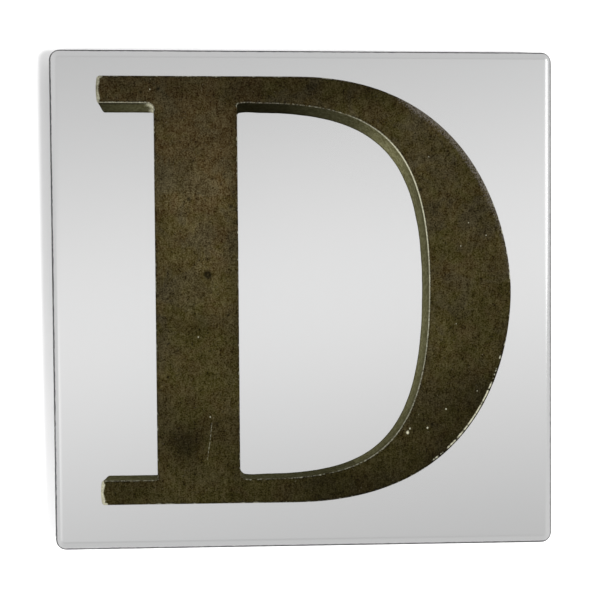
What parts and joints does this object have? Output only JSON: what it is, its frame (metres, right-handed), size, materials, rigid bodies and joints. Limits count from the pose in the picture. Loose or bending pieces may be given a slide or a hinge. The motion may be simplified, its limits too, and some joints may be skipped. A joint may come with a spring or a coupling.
{
  "type": "stamping tool",
  "caption": "Leather stamping head: a thick raised bronze serif capital on a square satin steel plate, screwed from behind, with a threaded handle socket in the back.",
  "frame": {"origin": "middle of the back face of the base plate, which the head lies on", "axes": "+Z the way the letter faces, away from the plate; +Y towards the top of the letter; +X towards its bowl"},
  "size_m": [0.094, 0.093, 0.0163],
  "materials": {
    "aged_bronze": "cast bronze with a dark olive-brown patina, pitted, worn bright on its edges",
    "satin_steel": "satin",
    "turned_steel": "turned",
    "black_oxide_steel": "black oxide",
    "ground_steel": "ground"
  },
  "bodies": {
    "root": {"letter_die": "aged_bronze", "base_plate": "satin_steel", "handle_socket": "turned_steel", "die_screw_1": "black_oxide_steel", "die_screw_2": "black_oxide_steel", "die_screw_3": "black_oxide_steel", "die_screw_4": "black_oxide_steel", "die_screw_5": "black_oxide_steel", "die_screw_6": "black_oxide_steel", "dowel_pin_1": "ground_steel", "dowel_pin_2": "ground_steel", "socket_screw_1": "black_oxide_steel", "socket_screw_2": "black_oxide_steel", "socket_screw_3": "black_oxide_steel", "socket_screw_4": "black_oxide_steel"}
  },
  "joints": []
}
